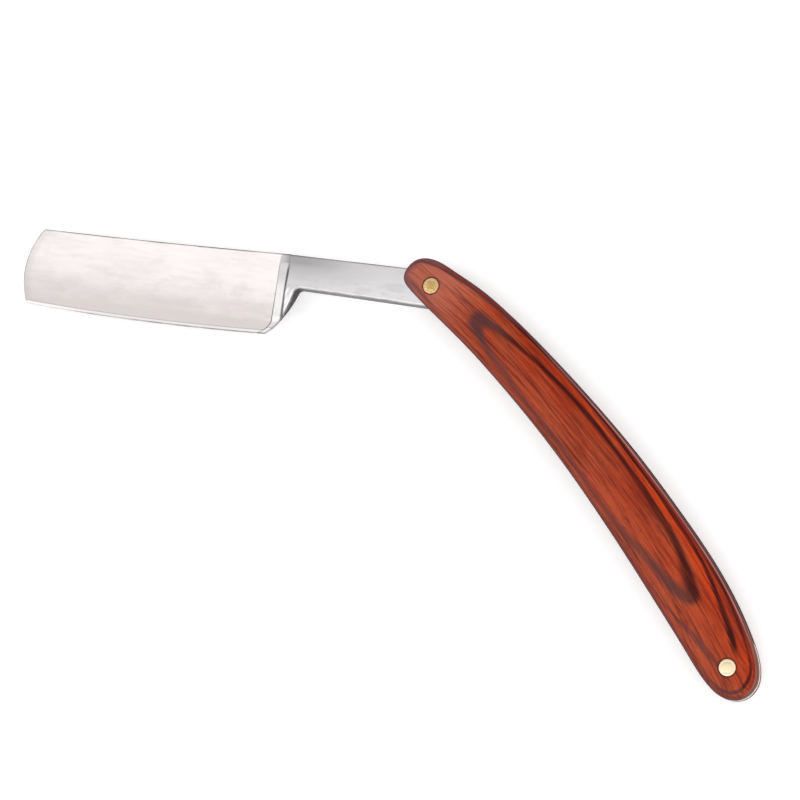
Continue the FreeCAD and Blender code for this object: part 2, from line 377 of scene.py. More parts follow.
class Piece:
    """Collects vertices and faces of one mesh, in millimetres."""

    def __init__(self):
        self.vertices = []
        self.faces = []
        self.values = {}

    def add(self, points, faces, **values):
        """Adds vertices with their attribute values and returns where they start."""
        start = len(self.vertices)
        self.vertices += [tuple(p) for p in points]
        self.faces += [tuple(int(i) + start for i in face) for face in faces]
        for name, numbers in values.items():
            column = self.values.setdefault(name, [])
            column += [0.0] * (start - len(column)) + [float(v) for v in numbers]
        return start

    def bridge(self, first, second):
        """Quads between two closed rings with as many points."""
        count = len(first)
        for i in range(count):
            j = (i + 1) % count
            self.faces.append((first[i], first[j], second[j], second[i]))

    def build(self, name, material, body, replaced, sharp_degrees=35.0):
        mesh = bpy.data.meshes.new(name)
        mesh.from_pydata([tuple(MM * c for c in v) for v in self.vertices], [], self.faces)
        mesh.validate()
        for key, numbers in self.values.items():
            numbers += [0.0] * (len(self.vertices) - len(numbers))
            attribute = mesh.attributes.new(key, "FLOAT", "POINT")
            attribute.data.foreach_set("value", np.array(numbers, np.float32))
        thing = bpy.data.objects.new(name, mesh)
        bpy.context.scene.collection.objects.link(thing)
        face_outwards(mesh)
        mesh.polygons.foreach_set("use_smooth", [True] * len(mesh.polygons))
        mesh.set_sharp_from_angle(angle=math.radians(sharp_degrees))
        mesh.materials.append(material)
        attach(thing, body)
        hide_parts(*replaced)
        return thing


def face_outwards(mesh):
    """Makes every face face outwards, also where a wall has vertices of its own along a seam."""
    work = bmesh.new()
    work.from_mesh(mesh)
    welded = work.copy()
    bmesh.ops.remove_doubles(welded, verts=welded.verts, dist=WELD_GAP)
    bmesh.ops.recalc_face_normals(welded, faces=welded.faces)
    assert len(welded.faces) == len(work.faces), "welding lost a face"
    for face, model in zip(work.faces, welded.faces):
        if face.normal.dot(model.normal) < 0.0:
            face.normal_flip()
    work.to_mesh(mesh)
    work.free()
    welded.free()


def mirrored(z):
    return 2 * MID_Z - z


HANDLE_LOOP = inset(spline_through(SCALE_OUTLINE, 0.75, closed=True), CLEARANCE)
TAIL_END = 14  # the outline point where its convex side meets its concave side


def handle_sides(x):
    """Y of the concave and of the convex rim at x."""
    convex = np.array(SCALE_OUTLINE[:TAIL_END + 1])
    concave = np.array(SCALE_OUTLINE[TAIL_END:])[::-1]
    return np.interp(x, concave[:, 0], concave[:, 1]), np.interp(x, convex[:, 0], convex[:, 1])


def line_values(name, points, table, closed=False):
    """A growth-ring line at each point: the gap in half widths, signed, and the line's strength."""
    line = spline_through(table, 0.5, closed)
    gap, segment, side = nearest(points, line[:, :2], closed)
    half_width, strength = line[segment, 2], line[segment, 3]
    if closed:
        side = np.where(is_inside(points, line[:, :2]), 1.0, -1.0)
    return {f"{name}_gap": side * gap / half_width, f"{name}_strength": strength}


def grain_values(points):
    """What the wood material needs to know at each point."""
    low, high = handle_sides(points[:, 0])
    values = {
        "across": np.clip((points[:, 1] - low) / np.maximum(high - low, 0.5), 0.0, 1.0),
        "grain_y": points[:, 1] - 0.5 * (low + high),
        "rim": distance(points, HANDLE_LOOP, closed=True),
        "from_pin": np.minimum(*(np.hypot(points[:, 0] - x, points[:, 1]) for x in (0.0, TAIL_X))),
    }
    values.update(line_values("loop", points, GRAIN_LOOP, closed=True))
    for name, table in GRAIN_LINES.items():
        values.update(line_values(name, points, table))
    return values


def scale_piece(name, node, z_of):
    """One wooden scale with a domed face, a rounded rim and let-in seats for the collars."""
    piece = Piece()
    steps = np.linspace(0.0, 0.5 * math.pi, 8)
    on_crown = (1.3, 1.9, 2.7)
    rings = [inset(HANDLE_LOOP, d) for d in (*(RIM_RADIUS * (1 - np.cos(steps))), *on_crown)]
    pins = [(0.0, 0.0), (TAIL_X, 0.0)]
    seats = [circle(COLLAR_RADIUS, pin) for pin in pins]
    bores = [circle(PIN_RADIUS, pin) for pin in pins]

    field = field_grid(HANDLE_LOOP, spacing=0.7, margin=3.1, holes=seats)
    flat, triangles, marks = triangulated(rings, seats, field)
    depth = distance(flat, HANDLE_LOOP, closed=True)
    dome = CROWN_HEIGHT * np.clip(1 - depth / CROWN_WIDTH, 0.0, 1.0) ** 2
    z = bend_rise(flat[:, 0]) + dome + round_over(depth, RIM_RADIUS)
    piece.add(np.column_stack([flat, z_of(z)]), triangles, **grain_values(flat))

    inner_field = field_grid(HANDLE_LOOP, spacing=3.0, margin=1.5, holes=bores)
    inner_flat, inner_triangles, inner_marks = triangulated([HANDLE_LOOP], bores, inner_field)
    inner_z = SCALE_THICKNESS + bend_rise(inner_flat[:, 0])
    inner_points = np.column_stack([inner_flat, z_of(inner_z)])
    start = piece.add(inner_points, inner_triangles, **grain_values(inner_flat))
    inner_rings = [[start + i for i in mark] for mark in inner_marks]
    piece.bridge(marks[0], inner_rings[0])

    for pin, seat, bore in zip(pins, marks[len(rings):], inner_rings[1:]):
        floor = float(bend_rise(pin[0])) + COLLAR_THICKNESS
        previous = seat
        for radius in (COLLAR_RADIUS, PIN_RADIUS):
            ring = circle(radius, pin)
            points = np.column_stack([ring, np.full(len(ring), z_of(floor))])
            start = piece.add(points, [], **grain_values(ring))
            current = list(range(start, start + len(ring)))
            piece.bridge(previous, current)
            previous = current
        piece.bridge(previous, bore)
    return piece.build(name, wood, "handle", [node])


def wedge_piece():
    """Thin metal wedge that fills the tail between the scales, with a fine arris."""
    hollow = [(WEDGE_START, 20.0), (WEDGE_START + WEDGE_HOLLOW, 1.0), (WEDGE_START, -20.0)]
    inner = arc_through(*hollow, step=0.4)
    inner = inner[is_inside(inner, HANDLE_LOOP)]
    tail = HANDLE_LOOP[HANDLE_LOOP[:, 0] > inner[:, 0].min() + 0.3]
    first = int(np.linalg.norm(tail - inner[-1], axis=1).argmin())
    tail = np.roll(tail, -first, axis=0)
    if np.linalg.norm(tail[1] - tail[0]) > 2.0:
        tail = np.roll(tail, -1, axis=0)[::-1]
    outline = np.vstack([inner, tail, inner[:1]])
    outline = respaced(outline, step=0.4, closed=True)
    rings = [inset(outline, d) for d in (0.0, 0.04, WEDGE_ARRIS)]
    bore = circle(PIN_RADIUS, (TAIL_X, 0.0))
    field = field_grid(outline, spacing=1.2, margin=0.8, holes=[bore])
    flat, triangles, marks = triangulated(rings, [bore], field)
    lowest = SCALE_THICKNESS + bend_rise(flat[:, 0])
    drop = round_over(distance(flat, outline, closed=True), WEDGE_ARRIS)
    piece = Piece()
    piece.add(np.column_stack([flat, lowest + drop]), triangles)
    start = piece.add(np.column_stack([flat, mirrored(lowest + drop)]), triangles)
    piece.bridge(marks[0], [start + i for i in marks[0]])
    piece.bridge(marks[-1], [start + i for i in marks[-1]])
    return piece.build("tail_wedge", wedge_metal, "handle", ["wedge"])


def lathe_piece(name, node, profile, centre_x, material):
    """A turned piece. The profile is a closed or axis-to-axis list of (radius, height)."""
    piece = Piece()
    rings = []
    for radius, z in profile:
        if radius < 1e-6:
            start = piece.add([(centre_x, 0.0, z)], [], radius=[0.0])
            rings.append([start])
            continue
        ring = circle(radius, (centre_x, 0.0))
        points = np.column_stack([ring, np.full(len(ring), z)])
        start = piece.add(points, [], radius=np.full(len(ring), radius))
        rings.append(list(range(start, start + len(ring))))
    pairs = list(zip(rings, rings[1:]))
    if len(rings[0]) > 1 and len(rings[-1]) > 1:
        pairs.append((rings[-1], rings[0]))
    for first, second in pairs:
        if len(first) == 1 or len(second) == 1:
            tip, ring = (first[0], second) if len(first) == 1 else (second[0], first)
            count = len(ring)
            piece.faces += [(tip, ring[i], ring[(i + 1) % count]) for i in range(count)]
        else:
            piece.bridge(first, second)
    return piece.build(name, material, "handle", [node])


def pin_profile(face):
    """Peened pin from its rear end to its front end, with a low dome on each head."""
    head = [(r, face + z) for r, z in PIN_HEAD]
    return head + [(r, mirrored(z)) for r, z in reversed(head)]


def collar_profile(face, z_of):
    """Ring with a softened outer arris and a countersunk bore."""
    bore = PIN_RADIUS + BORE_GAP
    profile = [(HEAD_RADIUS + r, face + z) for r, z in COUNTERSINK]
    profile += [(COLLAR_RADIUS - r, face + z) for r, z in COLLAR_ARRIS]
    profile += [(COLLAR_RADIUS, face + COLLAR_THICKNESS), (bore, face + COLLAR_THICKNESS)]
    profile += [(bore, face + HEAD_DEPTH + BORE_GAP)]
    return [(r, z_of(z)) for r, z in profile]


def washer_profile(z_of):
    """Thin flat ring between tang and scale."""
    low, high = SCALE_THICKNESS, SCALE_THICKNESS + WASHER_THICKNESS
    flat = WASHER_RADIUS - WASHER_ARRIS
    profile = [
        (WASHER_BORE, low), (flat, low), (WASHER_RADIUS, low + WASHER_ARRIS),
        (WASHER_RADIUS, high - WASHER_ARRIS), (flat, high), (WASHER_BORE, high),
    ]
    return [(r, z_of(z)) for r, z in profile]


# ---- blade ----
def blade_outline(step):
    """Closed outline of tang and blade in the blade's own frame, and the line along its edge."""
    tang_spine = respaced(np.array([TANG_BACK, SHOULDER_BACK]), step)
    spine = arc_through(SHOULDER_BACK, SPINE_MIDDLE, TOE_BACK, step)
    toe = arc_through(TOE_BACK, TOE_MIDDLE, TOE_EDGE, step)
    edge = arc_through(TOE_EDGE, EDGE_MIDDLE, HEEL[0], step)
    heel = spline_through(HEEL, 0.5 * step)
    root = respaced(np.array([TANG_NOTCH, TANG_ROOT]), step)
    end = arc_through(TANG_ROOT, TANG_END, TANG_BACK, step)
    line = np.vstack([tang_spine[:-1], spine])
    line = rounded_corner(line, TOE_BACK, toe, radius=1.2, step=step)
    line = rounded_corner(line, TOE_EDGE, edge, radius=1.3, step=step)
    line = np.vstack([line[:-1], heel])
    line = rounded_corner(line, TANG_NOTCH, root, radius=1.5, step=step)
    line = np.vstack([line[:-1], end[:-1]])
    edge_line = np.vstack([edge, heel[:5]])
    return line, edge_line


def hollow_face(x, y, edge_gap):
    """Half thickness of the hollow-ground blade, with its honed bevel."""
    spine_half = np.interp(x, [GRIND_X, TOE_X], [SHOULDER_HALF, TOE_HALF])
    bevel_y = EDGE_Y - BEVEL_WIDTH
    rise = np.clip((bevel_y - y) / (bevel_y - SPINE_Y), 0.0, 1.0) ** HOLLOW_POWER
    ground = BEVEL_HALF + (spine_half - BEVEL_HALF) * rise
    bevel = EDGE_HALF + (BEVEL_HALF - EDGE_HALF) * edge_gap / BEVEL_WIDTH
    return np.minimum(ground, bevel + np.clip(edge_gap - BEVEL_WIDTH, 0.0, None) * 10.0)


def soft_ramp(value, blend):
    """0 below zero and the value itself above it, with a smooth join."""
    joined = (value + blend) ** 2 / (4 * blend)
    return np.where(value < -blend, 0.0, np.where(value > blend, value, joined))


def grind_line_x(y):
    """Where the hollow face starts, which sweeps towards the toe near the edge."""
    return GRIND_X + GRIND_SWEEP * np.clip(y - GRIND_SWEEP_Y, 0.0, None) ** 2


def blade_half(points, rim_gap, edge_gap):
    """Half thickness of the blade, and how far each point is into the hollow face's step."""
    x, y = points[:, 0], points[:, 1]
    taper = (SHOULDER_HALF - HEEL_HALF) / (HEEL_TAPER_END - HEEL_TAPER_START)
    heel = SHOULDER_HALF - taper * soft_ramp(y - HEEL_TAPER_START, HEEL_TAPER_BLEND)
    thin = np.interp(y, [HEEL_TAPER_END, EDGE_Y], [HEEL_HALF, EDGE_HALF + 0.02])
    tang = np.interp(x, [5.0, SHOULDER_X], [TANG_HALF, SHOULDER_HALF])
    tang = np.minimum(tang, np.maximum(heel, thin))
    face = hollow_face(x, y, edge_gap)
    share = sum(gain * ease(low, high, y) for low, high, gain in STRIP_SHARES)
    strip = np.minimum(face + STRIP_RISE * share, tang)

    onto_strip = ease(STEP_START, STEP_WIDTH, x - SHOULDER_X)
    onto_face = ease(STEP_START, STEP_WIDTH, x - grind_line_x(y))
    half = tang + (strip - tang) * onto_strip
    half = half + (np.minimum(face, half) - half) * onto_face

    arris = np.where(x < SHOULDER_X, TANG_ARRIS, SPINE_ARRIS)
    near_edge = ease(14.0, 16.0, y) * ease(40.0, 44.0, x)
    half = np.maximum(half - round_over(rim_gap, arris) * (1 - near_edge), 0.5 * EDGE_HALF)
    return half, onto_face


def blade_piece():
    """The whole blade: tang, two-step shoulder, hollow faces, bevel and pivot hole."""
    outline, edge_line = blade_outline(step=0.7)
    rings = [inset(outline, d) for d in (0.0, 0.05, 0.12, 0.22, 0.35, 0.6)]
    bore = circle(TANG_BORE)

    # Near the steps and the bevel, finer points take the place of the grid.
    field = field_grid(outline, spacing=0.9, margin=0.9, holes=[bore])
    by_steps = np.abs(field[:, 0] - 0.5 * (SHOULDER_X + GRIND_X)) < 3.2
    by_bevel = distance(field, edge_line) < BEVEL_WIDTH + 0.5
    field = field[~by_steps & ~by_bevel]
    fine = fine_columns(outline, edge_line)
    rows = step_rows(outline)
    field = field[row_gap(field, rows) > 0.4]
    fine = fine[row_gap(fine, rows) > 0.06]
    flat, triangles, marks = triangulated(rings, [bore], np.vstack([field, fine]), rows)
    rim_gap = distance(flat, outline, closed=True)
    edge_gap = distance(flat, edge_line)
    half, onto_face = blade_half(flat, rim_gap, edge_gap)

    cos, sin = math.cos(OPEN_ANGLE), math.sin(OPEN_ANGLE)
    placed = flat @ np.array([[cos, sin], [-sin, cos]])
    piece = Piece()
    values = {
        "onto_face": onto_face,
        "blade_x": flat[:, 0],
        "blade_y": flat[:, 1],
        "side": np.zeros(len(flat)),
        "rim": rim_gap,
        "edge_gap": edge_gap,
    }
    piece.add(np.column_stack([placed, MID_Z + half]), triangles, **values)
    start = piece.add(np.column_stack([placed, MID_Z - half]), triangles, **values)
    add_wall(piece, marks[0], [start + i for i in marks[0]], 1.0)
    add_wall(piece, marks[-1], [start + i for i in marks[-1]], 0.6)
    return piece.build("ground_blade", steel, "blade", ["blade"], sharp_degrees=28.0)


def add_wall(piece, upper, lower, side):
    """Wall between two rings, on its own vertices so that it can carry its own finish."""
    points = [piece.vertices[i] for i in [*upper, *lower]]
    values = {key: [numbers[i] for i in [*upper, *lower]] for key, numbers in piece.values.items()}
    values["side"] = [side] * len(points)
    start = piece.add(points, [], **values)
    count = len(upper)
    piece.bridge(list(range(start, start + count)), list(range(start + count, start + 2 * count)))


def step_rows(outline):
    """Rows of points along the two shoulder steps. The mesh has edges along them."""
    rows = []
    for line in (np.full_like(ROW_Y, SHOULDER_X), grind_line_x(ROW_Y)):
        for offset in np.arange(-0.12, STEP_WIDTH + 0.1, ROW_SPACING):
            rows.append(well_inside(np.column_stack([line + offset, ROW_Y]), outline))
    return rows


def well_inside(points, outline):
    """The points that are inside the blade's outline and away from it."""
    points = points[is_inside(points, outline)]
    return points[distance(points, outline, closed=True) > 0.75]


def row_gap(points, rows):
    """Each point's distance to the nearest of the rows."""
    return np.min([distance(points, row) for row in rows], axis=0)


def fine_columns(outline, edge_line):
    """Columns of points on both sides of the two shoulder steps, and close rows along the bevel."""
    points = []
    past_shoulder = COLUMN_OFFSETS[COLUMN_OFFSETS > -0.5]
    for y in ROW_Y:
        columns = np.concatenate([SHOULDER_X + COLUMN_OFFSETS, grind_line_x(y) + past_shoulder])
        points += [(x, y) for x in columns]
    for gap in (0.9, BEVEL_WIDTH, 1.2, 1.5):
        points += [tuple(p) for p in offset_line(edge_line, gap)]
    return thinned(well_inside(np.array(points), outline), ROW_SPACING)


def offset_line(line, gap):
    """The open line moved sideways, into the blade."""
    along = np.gradient(line, axis=0)
    along /= np.linalg.norm(along, axis=1)[:, None]
    return line + gap * np.stack([-along[:, 1], along[:, 0]], axis=1)


def thinned(points, gap):
    """Drops points that lie closer than gap to an earlier one."""
    kept = {}
    for x, y in points:
        kept.setdefault((round(x / gap), round(y / gap)), (x, y))
    return np.array(list(kept.values()))


# ---- materials ----
class Shader:
    """A node material with short calls for the nodes used here.

    Where a share or a number is asked for, a tuple is the smooth step with those arguments.
    """

    def __init__(self, name, **settings):
        self.material = bpy.data.materials.new(name)
        self.material.use_nodes = True
        self.tree = self.material.node_tree
        self.surface = self.tree.nodes["Principled BSDF"]
        for socket, value in settings.items():
            self.surface.inputs[socket.replace("_", " ")].default_value = value
        place = self.node("ShaderNodeTexCoord")
        self.place = self.vector("SCALE", place.outputs["Object"], scale=1.0 / MM)

    def node(self, kind, **settings):
        made = self.tree.nodes.new(kind)
        for key, value in settings.items():
            setattr(made, key, value)
        return made

    def feed(self, socket, value):
        """Links or sets an input. None leaves it alone."""
        if isinstance(value, bpy.types.NodeSocket):
            self.tree.links.new(value, socket)
        elif value is not None:
            socket.default_value = value

    def feed_number(self, socket, value):
        self.feed(socket, self.smooth(*value) if isinstance(value, tuple) else value)

    def feed_colour(self, socket, value):
        self.feed(socket, (*value, 1.0) if isinstance(value, tuple) else value)

    def vector(self, operation, a, b=None, scale=None):
        made = self.node("ShaderNodeVectorMath", operation=operation)
        self.feed(made.inputs[0], a)
        self.feed(made.inputs[1], b)
        if scale is not None:
            self.feed(made.inputs["Scale"], scale)
        return made.outputs[0]

    def math(self, operation, a, b=None):
        made = self.node("ShaderNodeMath", operation=operation)
        self.feed_number(made.inputs[0], a)
        self.feed_number(made.inputs[1], b)
        return made.outputs[0]

    def times(self, first, *others):
        for other in others:
            first = self.math("MULTIPLY", first, other)
        return first

    def larger(self, a, b):
        return self.math("MAXIMUM", a, b)

    def plus(self, a, b):
        return self.math("ADD", a, b)

    def minus(self, a, b):
        return self.math("SUBTRACT", a, b)

    def gap(self, a, b):
        return self.math("ABSOLUTE", self.minus(a, b))

    def ridge(self, value, middle, inner, outer):
        """1 where the value is close to the middle, fading to 0."""
        return self.smooth(self.gap(value, middle), outer, inner)

    def joined(self, x, y, z=None):
        made = self.node("ShaderNodeCombineXYZ")
        for socket, value in zip(made.inputs, (x, y, z)):
            self.feed(socket, value)
        return made.outputs[0]

    def apart(self):
        """X, Y and Z of the point, in millimetres."""
        made = self.node("ShaderNodeSeparateXYZ")
        self.feed(made.inputs[0], self.place)
        return made.outputs

    def stored(self, name):
        return self.node("ShaderNodeAttribute", attribute_name=name).outputs["Fac"]

    def noise(self, stretch, detail=3.0, rough=0.55, offset=(0.0, 0.0, 0.0), place=None):
        """Noise with so many waves per millimetre along X, Y and Z."""
        spread = self.vector("MULTIPLY", place or self.place, stretch)
        made = self.node("ShaderNodeTexNoise")
        self.feed(made.inputs["Vector"], self.vector("ADD", spread, offset))
        self.feed(made.inputs["Scale"], 1.0)
        self.feed(made.inputs["Detail"], detail)
        self.feed(made.inputs["Roughness"], rough)
        return made.outputs["Fac"]

    def smooth(self, value, low, high, to_low=0.0, to_high=1.0):
        """Smooth step from to_low at low to to_high at high, where low may be the larger."""
        made = self.node("ShaderNodeMapRange", interpolation_type="SMOOTHSTEP")
        for socket, number in zip(made.inputs, (value, low, high, to_low, to_high)):
            self.feed(socket, number)
        return made.outputs[0]

    def mix(self, share, a, b):
        made = self.node("ShaderNodeMix", data_type="RGBA", clamp_factor=True)
        self.feed_number(made.inputs[0], share)
        self.feed_colour(made.inputs[6], a)
        self.feed_colour(made.inputs[7], b)
        return made.outputs[2]

    def layered(self, base, *layers):
        """The base colour under layers, each of them a share and a colour."""
        for share, colour in layers:
            base = self.mix(share, base, colour)
        return base

    def bump(self, height, strength, depth, under=None):
        made = self.node("ShaderNodeBump")
        self.feed_number(made.inputs["Height"], height)
        self.feed(made.inputs["Strength"], strength)
        self.feed(made.inputs["Distance"], depth * MM)
        self.feed(made.inputs["Normal"], under)
        return made.outputs[0]

    def set(self, socket, value):
        self.feed_number(self.surface.inputs[socket], value)


def grain_line(s, name, shift, inner=1.6, outer=1.6):
    """Darkness of one growth-ring line. It fades over so many half widths on each side."""
    gap = s.plus(s.stored(f"{name}_gap"), shift)
    return s.times((gap, -outer, -0.4), (gap, 0.5, inner, 1.0, 0.0), s.stored(f"{name}_strength"))


def wood_material():
    """Dyed, laminated and lacquered wood: red-orange with dark growth rings and long fine lines."""
    s = Shader("dyed_laminated_wood", Coat_Roughness=0.12, Coat_IOR=1.4, Specular_IOR_Level=0.03)
    x, _, z = s.apart()
    grain = s.joined(x, s.stored("grain_y"), z)
    waver = s.noise((0.045, 0.25, 0.25), 2.0, place=grain)
    broad = s.noise((0.035, 0.75, 0.75), 3.0, 0.6, (3.0, 1.0, 0.0), grain)
    lines = s.noise((0.06, 2.6, 2.6), 3.0, 0.6, (0.0, 9.0, 4.0), grain)
    flecks = s.noise((0.30, 6.5, 6.5), 2.0, 0.6, (5.0, 2.0, 7.0), grain)
    contours = s.noise((0.030, 1.5, 1.5), 1.0, 0.5, (8.0, 3.0, 1.0), grain)
    patches = s.noise((0.05, 0.14, 0.14), 1.0, offset=(2.0, 5.0, 0.0))
    across, rim, loop, border = map(s.stored, ("across", "rim", "loop_gap", "border_gap"))

    # The dye: duller at the pivot and greyer on the concave side, that grey being painted sheen, with a
    # bright flame outside the ring's upper side, and darker between the border line and the rim and along
    # the inside of the ring.
    flame = s.times((loop, -1.0, -3.0), (across, 0.55, 0.8), (x, 35.0, 85.0, 0.0, 0.9))
    by_rim = s.times((border, 0.2, 2.0), (x, 134.0, 124.0), 0.62)
    in_ring = s.times((loop, -0.5, 2.0), (across, 0.40, 0.65), (x, 38.0, 55.0), (x, 102.0, 84.0, 0.0, 0.32))
    body = s.layered(
        s.mix((across, 0.2, 0.8), (0.38, 0.060, 0.024), (0.39, 0.036, 0.005)),
        ((patches, 0.4, 0.65, 0.0, 0.7), (0.40, 0.076, 0.029)),
        (flame, (0.50, 0.041, 0.004)),
        ((x, 18.0, 0.0, 0.0, 0.75), (0.425, 0.138, 0.094)),
        (by_rim, (0.175, 0.018, 0.009)),
        ((across, 0.16, 0.04, 0.0, 0.45), (0.19, 0.050, 0.042)),
        (in_ring, (0.16, 0.017, 0.008)),
    )

    # Grain, from broad bands down to hair lines and pores. Its dark lines are fainter round the
    # pivot. Then the darker rounding along the convex rim and round the pivot end.
    depth = s.smooth(x, 2.0, 16.0, 0.40, 1.0)
    hair = s.larger(s.ridge(contours, 0.5, 0.012, 0.055), s.ridge(contours, 0.38, 0.012, 0.055))
    body = s.layered(
        body,
        ((broad, 0.50, 0.68, 0.0, 0.32), (0.16, 0.017, 0.008)),
        ((broad, 0.46, 0.30, 0.0, 0.30), (0.45, 0.075, 0.022)),
        (s.times(depth, (lines, 0.53, 0.64, 0.0, 0.55)), (0.12, 0.011, 0.005)),
        ((lines, 0.46, 0.34, 0.0, 0.28), (0.47, 0.075, 0.020)),
        (s.times(hair, (lines, 0.35, 0.6, 0.15, 0.70), depth), (0.10, 0.010, 0.006)),
        (s.times(depth, (flecks, 0.54, 0.66, 0.0, 0.50)), (0.10, 0.012, 0.008)),
        (s.times((rim, 1.7, 0.9), (across, 0.5, 0.8), 0.6), (0.115, 0.014, 0.012)),
        (s.times((rim, 2.9, 0.5, 0.0, 0.85), (x, 1.0, -5.0)), (0.155, 0.060, 0.070)),
    )

    # Growth rings, then painted shade in the rings' colour: a line along the concave rim, and the walls and
    # the rim's outermost rounding. They are greyer on the concave side, as painted sheen, and in the wide
    # dark spot near the pivot.
    shift = s.times(s.minus(s.plus(waver, lines), 1.0), 1.5)
    dark = grain_line(s, "loop", shift, 2.3, 1.9)
    for name in GRAIN_LINES:
        dark = s.larger(dark, grain_line(s, name, shift))
    dark = s.times(dark, (lines, 0.35, 0.55, 0.8, 1.0))
    concave_rim_painted_shade = s.times(s.ridge(rim, 0.65, 0.05, 0.42), (across, 0.4, 0.2, 0.0, 0.6), (x, 25.0, 50.0))
    dark = s.larger(s.larger(dark, concave_rim_painted_shade), (rim, 0.15, 0.60, 0.9, 0.0))
    spot_grey_and_painted_sheen = s.larger((across, 0.60, 0.35, 0.05, 1.0), (x, 29.0, 20.0, 0.0, 0.9))
    ring = s.mix(spot_grey_and_painted_sheen, (0.040, 0.002, 0.001), (0.080, 0.028, 0.028))

    # Over them a painted highlight along the arris on the convex side, painted light on the front scale's
    # rim round the tail, and painted shadow round the collars.
    arris_painted_highlight = s.times(
        (rim, 0.16, 0.34), (rim, 0.74, 0.50), (across, 0.6, 0.9), (x, 25.0, 55.0),
        (broad, 0.35, 0.6, 0.35, 0.75),
    )
    front = s.smooth(z, MID_Z - 0.2, MID_Z + 0.2)
    # Painted light: the front scale's rim round the tail is a lighter brown.
    tail_rim_painted_light = s.times((x, 120.0, 130.0), front, (rim, 0.95, 0.40, 0.0, 0.75), (across, 0.25, 0.6))
    # Painted shadow: a dark ring in the wood round each collar.
    seat = s.smooth(s.stored("from_pin"), COLLAR_RADIUS + 0.10, COLLAR_RADIUS + 0.55, 0.85, 0.0)
    s.set("Base Color", s.layered(
        body,
        (dark, ring),
        (arris_painted_highlight, (0.44, 0.20, 0.18)),
        (tail_rim_painted_light, (0.185, 0.065, 0.040)),
        (seat, (0.030, 0.010, 0.008)),
    ))
    s.set("Coat Weight", (rim, 0.02, 0.30, 0.05, 0.20))
    s.set("Roughness", (flecks, 0.3, 0.8, 0.34, 0.50))
    swell = s.noise((0.10, 0.5, 0.5), 2.0, 0.55, (3.0, 1.0, 8.0), grain)
    s.set("Normal", s.bump(swell, 0.2, 0.06, s.bump(flecks, 0.25, 0.03)))
    lacquer = s.noise((0.2, 0.8, 0.8), 2.0, offset=(5.0, 2.0, 6.0))
    s.set("Coat Normal", s.bump(lacquer, 0.12, 0.03))
    return s.material


